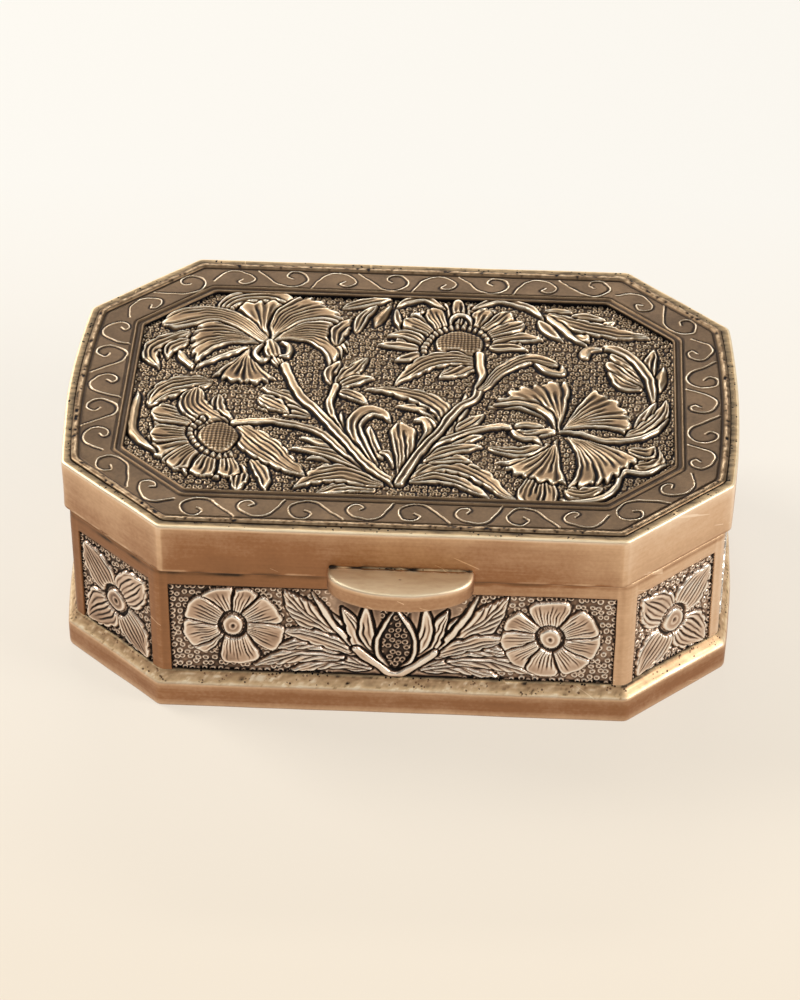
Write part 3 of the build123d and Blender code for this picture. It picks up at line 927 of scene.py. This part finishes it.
def end_plate(chasing):
    """Leaves to both sides of a rosette."""
    chasing.draw(END_LEAVES)
    chasing.draw(END_LEAVES, 0)
    add_rosette(chasing, (0, 16.8), RIGHT_ROSETTE, (1.8, 5, 8.4))


def corner_plate(chasing):
    """Four leaves crosswise round a boss."""
    petals = [(angle, 6.4) for angle in (48, 132, 228, 312)]
    add_rosette(chasing, (0, 16.2), petals, (1.4, 6, 11.6), "leaf", (2.2, 2.4))


def add_panels():
    """The chased plates in the wall windows, each laid on its own side."""
    middle, along, outward, length = side_frames(WALL_PLAN, 0)
    for side, name in enumerate(PANEL_NAMES):
        half = length[side] / 2 - WINDOW_POST + 0.05
        xs = np.arange(-half, half, SHEET_STEP)
        zs = np.arange(WINDOW_LOW - 0.05, WINDOW_HIGH + 0.1, SHEET_STEP)
        x, z = np.meshgrid(xs, zs)
        chasing = Chasing(x, z, PLATE_RINGS, 20 + side, 2.6)
        (front_plate, corner_plate, end_plate, corner_plate)[side % 4](chasing)
        off = bowed(side, x, length, END_BOW) - GROUND_DEPTH + chasing.height * PLATE_RELIEF
        points = np.zeros((*x.shape, 3))
        points[..., :2] = middle[side] + along[side] * x[..., None] + outward[side] * off[..., None]
        points[..., 2] = z
        # Corner plates a little darker, painted shade.
        tones = np.minimum(chasing.tones(1.7, 0.04), 0.84) + 0.02 * (side % 2)
        from_edge = np.minimum(half - np.abs(x), np.minimum(z - WINDOW_LOW, WINDOW_HIGH - z))
        tones += 0.7 * bell(from_edge, 0.34)
        if name == "front":
            tones += palmette_shade(x, z, chasing.height)
        # Painted light from the right: lighter for each millimetre further right.
        tones = np.clip(tones - PLATE_LEAN * points[..., 0], 0, 1)
        faces = grid_faces(*x.shape)
        add_piece("plate_" + name, points, tones, faces, "box", "carved_panel_brass", "panel_" + name)


def add_lid_field():
    """The sunk field: a spray of flowers over a punched ground, in four sheets."""
    reach_x, reach_y = FIELD_REACH
    x, y = np.meshgrid(np.arange(-reach_x, reach_x, SHEET_STEP), np.arange(-reach_y, reach_y, SHEET_STEP))
    field = Chasing(x, y, FIELD_RINGS, 11)
    field.draw(LID_SPRAY)
    tones = field.tones(1.6, 0.10)
    points = np.stack([x, y, np.minimum(FIELD_LEVEL + field.height, FIELD_HIGHEST)], axis=-1)
    inside = inside_plan(x, y, FIELD_INSET - 0.1)
    cells = inside[:-1, :-1] & inside[1:, :-1] & inside[:-1, 1:] & inside[1:, 1:]
    left = x[:-1, :-1] < 0
    low = y[:-1, :-1] < 0
    for name, part in (("a", left & low), ("b", ~left & low), ("c", left & ~low), ("d", ~left & ~low)):
        faces = grid_faces(*x.shape, keep=cells & part)
        add_piece("lid_spray_" + name, points, tones, faces, "lid", "carved_lid_brass")


# The border's profile, by inset: the bead's middle, two raised frame lines and four creases
BEAD = 2.22
FRAME_LINES = (8.65, 9.85)
CREASES = (2.98, 8.25, 9.1, 9.45)


def border_height(inset):
    """How far the border stands above the lid's top at an inset."""
    bead = 0.4 * np.sqrt(np.clip(1 - ((inset - BEAD) / 0.6) ** 2, 0, 1))
    frames = sum(0.22 * bell(inset - line, 0.20) for line in FRAME_LINES)
    creases = sum(0.16 * bell(inset - line, 0.16) for line in CREASES)
    return bead + frames - creases


def roughen_bead(points, tones, insets):
    """Leaves the bead as cast: uneven, black in its pits, and pale on its lumps, partly a painted highlight.
    """
    on_bead = np.clip(1 - ((insets - BEAD) / 0.62) ** 2, 0, 1)[:, None]
    x = points[..., 0]
    y = points[..., 1]
    uneven = 0.6 * lumps(x, y, 0.9, 5) + 0.6 * lumps(x, y, 0.42, 6)
    pits = np.clip(-uneven - 0.42, 0, 1)
    points[..., 2] += on_bead * (0.05 * uneven - 0.08 - 0.25 * pits)
    tones += on_bead * (0.06 - 0.22 * uneven + 1.2 * pits)


def scroll_lines(side):
    """The engraved scrolls of one side, clockwise, their tops towards the outside."""
    length = side_frames(LID_PLAN, (SCROLL_LOW + SCROLL_HIGH) / 2)[3][side]
    unit = (length - 1.0) / SCROLL_UNITS[side]
    reach = unit * ARCH_LENGTH
    depth = SCROLL_LOW - SCROLL_HIGH
    lines = []
    for number in range(SCROLL_UNITS[side]):
        start = 0.5 - length / 2 + number * unit
        shape = SCROLL_DIP if number % 2 else SCROLL_ARCH
        lines.append([(-start - share * reach, SCROLL_LOW - up * depth) for share, up in shape])
    return lines


def add_lid_border():
    """The top plate round the field, with its bead, scrolls and frame lines."""
    places = outline_places(LID_PLAN, 0.2)
    insets = np.concatenate([[1.66, 1.6, 1.6], np.linspace(1.64, 10.08, 60), [10.1, 10.12, 10.2]])
    levels = border_height(insets)
    rows = []
    for inset, level in zip(insets, levels):
        bow = END_BOW * min(1, max(0, (8.3 - inset) / 5.3))
        rows.append((LID_PLAN, inset, LID_TOP + level, 0.535, bow))
    points, tones = swept_points(rows, places, 0.0)
    reach = np.array([outline_ring(LID_PLAN, inset, 0, places)[1] for inset in insets])
    for side in range(8):
        columns = np.nonzero((places[:, 0] == side) & (places[:, 2] == 0))[0]
        chasing = Chasing(reach[:, columns], np.repeat(insets[:, None], len(columns), axis=1), 0, side)
        for line in scroll_lines(side):
            chasing.engrave(line, 0.30, 0.16)
        points[:, columns, 2] += chasing.height
        # The cut darker, patina and painted shade; the burr beside it lighter, polish and a painted
        # highlight.
        tones[:, columns] -= 2.2 * chasing.height + 2.4 * np.clip(chasing.height, 0, 1)
    # Raised bead and frame lines lighter and creases darker: polish and patina, and painted highlight and
    # shade.
    tones -= 0.95 * np.clip(levels, -0.2, 0.26)[:, None]
    roughen_bead(points, tones, insets)
    points[:3, :, 2] = [[SHOULDER + 0.1], [SHOULDER + 0.2], [LID_TOP - 0.06]]
    points[-3:, :, 2] = [[LID_TOP - 0.3], [FIELD_LEVEL], [FIELD_LEVEL - 0.3]]
    tones[:3] = [[1.0], [1.0], [0.7]]
    tones[-3:] = 0.9
    add_band("lid_border", points, tones, "lid", "carved_lid_brass", "lid_top_plate", closed=False)


def add_lid_underside():
    """The flat underside of the top plate, seen when the lid is open."""
    corners = [(1.7, LID_TOP - 0.5, 0.5)]
    corners += [(inset, SHOULDER, 0.5) for inset in (1.7, 3.2, 10.0, 16.0, 21.0)]
    points, tones = swept_points(profile(LID_PLAN, corners, 0.0), outline_places(LID_PLAN, 3.0), 0.0)
    points = np.vstack([points, points[-1:] * (0.0, 0.0, 1.0)])
    tones = np.vstack([tones, tones[-1:]])
    add_band("lid_underside", points, tones, "lid", "plain_brass", closed=False, inward=True)


def add_lid_skirt():
    """The lid's sides, darker along their lower edge, unevenly, as painted shade at the seam, and with room
    for the hinge.
    """
    # Tones along the profile: darkest on the lower edge, painted shade, and in the joint with the top plate;
    # lighter upwards; lightest on the rounded top edge, wear and a painted highlight.
    corners = [
        (0.5, 30.0, 0.9), (0.14, 30.04, 0.8), (0.02, 30.2, 0.48),
        *[(0.0, 30.4 + 0.35 * step, 0.42) for step in range(6)],
        (0.0, 34.5, 0.38), (0.0, 37.5, 0.36), (0.0, 39.2, 0.30), (0.03, 39.66, 0.05), (0.16, 39.9, 0.0),
        (0.34, 39.98, 0.02), (0.55, 40.0, 0.5), (0.95, 39.98, 0.6), (1.36, 39.97, 0.66),
        (1.52, 39.93, 0.75), (1.56, 39.0, 1.0), (1.56, 37.6, 1.0), (3.2, 37.6, 0.7),
        (3.2, 33.0, 0.55), (3.2, 31.9, 0.5),
        *[(3.2, 31.6 - 0.35 * step, 0.5) for step in range(5)],
        (3.0, 30.0, 0.5),
    ]
    places = outline_places(LID_PLAN, 1.0, (0.15, 0.4))
    points, tones = swept_points(profile(LID_PLAN, corners), places)
    outer = slice(0, 12)
    # Painted light per side and from the right, and lighter upright edges.
    tones[outer] += side_light_and_wear(LID_PLAN, places)
    # Uneven painted shade along the lower edge, at the seam.
    lower_edge = slice(1, 4)
    x, y, z = np.moveaxis(points[lower_edge], -1, 0)
    tones[lower_edge] += 0.22 * lumps(x - y, z, 2.6, 14)
    cut_seats(points)
    add_band("lid_side_band", points, tones, "lid", "satin_brass", "lid_skirt")


def add_foot():
    """The foot's upright face and its rough ledge."""
    proud = -FOOT_PROUD
    # Tones along the profile: lighter on the face's rounded edges and lightest on its top edge: painted
    # highlights.
    corners = [
        (2.0, 0.0, 0.6), (proud + 0.5, 0.0, 0.6), (proud + 0.12, 0.08, 0.4), (proud, 0.4, 0.25),
        (proud, 1.6, 0.40), (proud, 3.2, 0.42), (proud, 4.6, 0.34), (proud + 0.06, 5.0, 0.16),
        (proud + 0.22, 5.26, 0.05), (proud + 0.42, 5.5, 0.20), (proud + 0.6, 5.72, 0.28),
        (proud + 0.8, 6.0, 0.30), (proud + 1.0, 6.3, 0.30), (proud + 1.18, 6.6, 0.32),
        (proud + 1.36, 6.9, 0.40), (0.05, 7.18, 0.60), (0.6, 7.2, 0.9), (2.0, 7.0, 0.6),
    ]
    points, tones = swept_points(profile(WALL_PLAN, corners), outline_places(WALL_PLAN, 0.3, (0.1,)))
    ledge = slice(8, 15)
    x, y, z = np.moveaxis(points[ledge], -1, 0)
    uneven = 0.7 * lumps(x - y, 2.2 * z, 1.5, 7) + 0.8 * lumps(x - y, 3.3 * z, 0.5, 8)
    pits = np.clip(-uneven - 0.70, 0, 1)
    points[ledge, :, 2] += 0.035 * uneven - 0.10 * pits
    # Black pits as cast; lighter where the ledge stands higher, with pale spots on the highest lumps:
    # painted highlights.
    tones[ledge] += 0.04 + 0.7 * pits - 0.12 * uneven - 0.5 * np.clip(uneven - 0.4, 0, 1)
    add_band("foot_band", points, tones, "box", "satin_brass", "foot_ring")


def add_wall():
    """The eight walls in one band, each with a sunk window for its plate."""
    heights = [7.0, 7.12, 7.24, 7.4, 12.0, 17.0, 22.0, 26.1, 26.32, 26.46, 26.7, 27.4, 28.0]
    heights += [28.0 + 0.25 * step for step in range(1, 8)]
    corners = [(0.0, height, 0.4) for height in heights]
    corners += [(0.05, 29.9, 0.3), (0.3, 30.0, 0.4), (2.0, 30.0, 0.5)]
    inner = [(3.6, 30.0, 0.5), (3.6, 29.7, 0.5), (3.6, 15.0, 0.55), (3.6, 1.6, 0.8)]
    gaps = [WINDOW_POST + off - CORNER_ROUND for off in (-0.3, -0.12, -0.04, 0.06, 0.16)]
    places = outline_places(WALL_PLAN, 1.2, gaps + [0.1, 0.3])
    points, tones = swept_points(profile(WALL_PLAN, corners) + profile(LID_PLAN, inner), places)
    from_corner = corner_distance(WALL_PLAN, places)
    outer = slice(0, len(heights))
    up = points[outer, :, 2]
    sunk = smooth_step((from_corner - WINDOW_POST + 0.12) / WINDOW_EDGE)
    sunk = sunk * smooth_step((up - WINDOW_LOW + 0.1) / WINDOW_EDGE)
    sunk = sunk * smooth_step((WINDOW_HIGH + 0.1 - up) / WINDOW_EDGE)
    outward = side_frames(WALL_PLAN, 0)[2][places[:, 0].astype(int)]
    points[outer, :, :2] -= WINDOW_DEPTH * sunk[..., None] * outward
    x, y, z = np.moveaxis(points[outer], -1, 0)
    painted_shadow_patches = np.clip(0.6 + lumps(x - y, z, 3.4, 15), 0, 1.2)
    # The sunk windows darker round each plate; a faint lighter line on each post's edge, a painted
    # highlight.
    tones[outer] += 0.5 * smooth_step(sunk) - 0.05 * bell(from_corner - 1.7, 0.25)
    # Painted light per side and from the right, and a painted shadow, in uneven patches, under the lid's
    # overhang.
    tones[outer] += 0.5 * side_light_and_wear(WALL_PLAN, places) - WALL_LEAN * x + 0.30 * bell(z - 29.1, 0.42) * painted_shadow_patches
    cut_seats(points)
    add_band("wall_band", points, tones, "box", "satin_brass", "wall_frame", closed=False)


def add_lip():
    """The inner lip that guides the lid."""
    # Tones: lighter on the rounded top edges, a painted highlight; darker lower down where it meets the
    # wall, painted shade.
    corners = [
        (3.6, 24.0, 0.6), (3.6, 29.5, 0.7), (3.6, 32.6, 0.4), (3.7, 32.9, 0.2), (3.9, 33.0, 0.2),
        (4.3, 33.0, 0.3), (4.5, 32.9, 0.2), (4.6, 32.6, 0.4), (4.6, 24.3, 0.5), (4.4, 24.0, 0.6),
    ]
    points, tones = swept_points(profile(LID_PLAN, corners), outline_places(LID_PLAN, 1.2))
    add_band("inner_lip", points, tones, "box", "plain_brass", "lip_ring")


def add_tab():
    """The D-shaped thumb tab, dished on top and rounded all along its edge."""
    # Tones by row: darker underneath, painted shade; lighter over the top and lightest along its front top
    # edge, painted light and a painted highlight.
    rows = [
        (0.02, 0.0, 0.5), (0.6, 0.0, 0.5), (0.9, 0.0, 0.45), (0.97, 0.08, 0.35), (0.993, 0.3, 0.3),
        (1.0, 0.7, 0.34), (1.0, 2.5, 0.34), (0.995, 3.1, 0.2), (0.98, 3.45, 0.0), (0.955, 3.65, 0.0),
        (0.92, 3.7, 0.01), (0.8, 3.66, 0.03), (0.6, 3.6, 0.04), (0.3, 3.55, 0.04), (0.02, 3.53, 0.04),
    ]
    scale, level, tone = np.array(rows).T[:, :, None]
    arc = np.linspace(0, np.pi, 41)
    rim_x = np.concatenate([[TAB_HALF], TAB_HALF * np.cos(arc), [-TAB_HALF]])
    rim_y = np.concatenate([[TAB_BACK], TAB_ARC_START - TAB_ARC_REACH * np.sin(arc), [TAB_BACK]])
    middle_x, middle_y = TAB_MIDDLE
    x = middle_x + rim_x * scale
    y = middle_y + (rim_y - middle_y) * scale
    z = np.clip(TAB_LOW + level + 0.04 * np.sin(x * 0.9 + 1), TAB_LOW, TAB_HIGH)
    points = np.stack([x, y, z], axis=-1)
    add_band("tab", points, tone + 0 * x, "lid", "satin_brass", "thumb_tab", closed=False)


def turned_points(x, radius, axis_y, axis_z, count):
    """Points round an axis that runs along x, a row of them for each x and radius."""
    angles = np.linspace(0, 2 * np.pi, count + 1)[:-1]
    y = axis_y + radius * np.cos(angles)
    z = axis_z + radius * np.sin(angles)
    return np.stack([x + 0 * y, y, z], axis=-1)


def add_solder():
    """The rough seam of solder where the tab meets the lid."""
    x = np.arange(-SOLDER_HALF, SOLDER_HALF + 0.01, 0.25)[:, None]
    radius = 0.30 + 0.12 * lumps(x, 0 * x, 1.4, 9) + 0.06 * lumps(x, 0 * x, 0.5, 10)
    radius = radius * np.clip((SOLDER_HALF + 0.3 - np.abs(x)) / 0.6, 0.1, 1)
    points = turned_points(x + TAB_MIDDLE[0], radius, SOLDER_Y, TAB_HIGH, 12)
    tones = 0.60 + 0.30 * lumps(x, 0 * x, 1.9, 12) + 0 * points[..., 0]
    add_band("tab_solder", points, tones, "lid", "satin_brass", closed=False, inward=True)


def add_turned(name, rows, body, node):
    """A piece turned about the hinge axis: rows are (x, radius, tone)."""
    x, radius, tone = np.array(rows).T[:, :, None]
    points = turned_points(x, radius, HINGE_Y, HINGE_Z, 36)
    tones = tone + 0 * points[..., 0]
    add_band(name, points, tones, body, "hinge_brass", node, closed=False, inward=True)


def both_ends(low, high, rows, middle=()):
    """Rows given by their distance from an end, laid at both ends with the middle between."""
    first = [(low + off, radius, tone) for off, radius, tone in rows]
    last = [(high - off, radius, tone) for off, radius, tone in reversed(rows)]
    return first + list(middle) + last


def add_hinge():
    """Five knuckles with eased ends, and a pin whose ends are spread."""
    bore = PIN_RADIUS + PIN_PLAY
    # Tones: dark in the bore, painted shade; lightest on the eased edges, a painted highlight.
    ease = [(0.5, bore, 0.9), (0, bore, 0.7), (0, 1.55, 0.5), (0.08, 1.72, 0.1), (0.3, KNUCKLE_RADIUS, 0.15)]
    for number in range(5):
        body = "lid" if number % 2 else "box"
        middle = KNUCKLE_PITCH * (number - 2)
        half = KNUCKLE_LENGTH / 2
        rows = both_ends(middle - half, middle + half, ease, [(middle, KNUCKLE_RADIUS, 0.4)])
        add_turned(f"knuckle_{number + 1}", rows, body, f"hinge_knuckle_{number + 1}_{body}")
    low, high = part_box("hinge_pin")
    head = (high.z - low.z) / MM / 2
    # Tones: light on the end and its edge, a painted highlight; dark under the head next to the knuckle,
    # painted shade.
    end = [(0, 0.02, 0.4), (0, head * 0.7, 0.2), (0.12, head * 0.95, 0.1), (0.3, head, 0.2)]
    end += [(0.58, head, 0.6), (0.62, PIN_RADIUS, 0.8)]
    add_turned("pin", both_ends(low.x / MM, high.x / MM, end), "box", "hinge_pin")


def dress_base():
    """The kept base plate takes the plain brass."""
    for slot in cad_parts["base_plate"].material_slots:
        slot.material = BRASS["plain_brass"]


# Floor, backdrop and light, in metres and watts
# The floor's colour and glow run from darker and warmer at the front to paler at the back: a painted falloff
# of light.
FLOOR_NEAR = (0.86, 0.765, 0.63)
FLOOR_FAR = (0.90, 0.865, 0.80)
GLOW_NEAR = (0.91, 0.81, 0.675)
GLOW_FAR = (0.94, 0.92, 0.87)
GLOW_SHARE = 0.7
SWEEP_RADIUS = 0.5
FLOOR_FRONT = -2.5
FLOOR_BACK = 1.6
FLOOR_HALF = 3.0
BACKDROP_TOP = 1.0
WORLD_LIGHT = 0.26
# Each lamp's name, place, size, power and colour; all of them aim at the middle of the floor
LAMPS = [
    ("left_window", (-0.70, 0.30, 0.70), (0.40, 0.40), 6.8, (1.0, 0.98, 0.95)),
    ("right_window", (0.80, -0.25, 0.40), (0.35, 0.45), 5.0, (1.0, 0.97, 0.93)),
    ("back_strip", (-0.05, 0.9, 0.75), (0.5, 0.10), 3.0, (1.0, 0.98, 0.95)),
    ("front_top", (0.0, -0.75, 0.90), (0.70, 0.40), 1.8, (1.0, 0.98, 0.95)),
]


def paper():
    """Pale paper that glows for the camera and in reflections, beside the lamps' light on it; darker and
    warmer at the front and paler behind, a painted falloff of light.
    """
    pale = Shading("paper")
    place = pale.add("TexCoord", {}, "Object")
    depth = pale.add("SeparateXYZ", {"Vector": place}, "Y")
    share = pale.between(depth, -0.10, 0.12)
    colour = pale.ramp(share, [(0.0, FLOOR_NEAR), (1.0, FLOOR_FAR)])
    glow = pale.ramp(share, [(0.0, GLOW_NEAR), (1.0, GLOW_FAR)])
    pale.fill(pale.shader, {"Base Color": colour, "Roughness": 0.9, "Specular IOR Level": 0.1})
    rays = pale.add("LightPath", {}).node.outputs
    seen = pale.maths("MAXIMUM", rays["Is Camera Ray"], rays["Is Glossy Ray"])
    share = pale.maths("MULTIPLY", seen, GLOW_SHARE)
    light = pale.add("Emission", {"Color": glow, "Strength": 1.0})
    mixed = pale.add("MixShader", {0: share, 1: pale.shader.outputs[0], 2: light})
    pale.fill(pale.tree.nodes["Material Output"], {"Surface": mixed})
    return pale.material


def add_stage():
    """A pale floor that curves up into a backdrop."""
    bend = np.linspace(0, np.pi / 2, 17)
    ys = [FLOOR_FRONT] + list(FLOOR_BACK + SWEEP_RADIUS * np.sin(bend)) + [FLOOR_BACK + SWEEP_RADIUS]
    zs = [0.0] + list(SWEEP_RADIUS * (1 - np.cos(bend))) + [BACKDROP_TOP]
    vertices = [(side * FLOOR_HALF, y, z) for y, z in zip(ys, zs) for side in (-1, 1)]
    faces = [(2 * n, 2 * n + 1, 2 * n + 3, 2 * n + 2) for n in range(len(ys) - 1)]
    mesh = bpy.data.meshes.new("floor")
    mesh.from_pydata(vertices, [], faces)
    mesh.shade_smooth()
    mesh.materials.append(paper())
    add_object("floor", mesh)


def add_light():
    """The lamps and a dim even light from all round."""
    world = bpy.data.worlds.new("studio")
    bpy.context.scene.world = world
    world.use_nodes = True
    background = world.node_tree.nodes["Background"]
    background.inputs["Color"].default_value = (1.0, 0.97, 0.92, 1)
    background.inputs["Strength"].default_value = WORLD_LIGHT
    for name, place, size, power, colour in LAMPS:
        data = bpy.data.lights.new(name, "AREA")
        data.shape = "RECTANGLE"
        data.size, data.size_y = size
        data.energy = power
        data.color = colour
        lamp = add_object(name, data)
        lamp.location = place
        lamp.rotation_euler = (-lamp.location).to_track_quat("-Z", "Y").to_euler()
    bpy.context.scene.view_settings.view_transform = "Standard"


add_camera()
add_stage()
add_light()
add_lid_field()
add_lid_border()
add_lid_underside()
add_lid_skirt()
add_foot()
add_wall()
add_lip()
add_panels()
add_tab()
add_solder()
add_hinge()
dress_base()
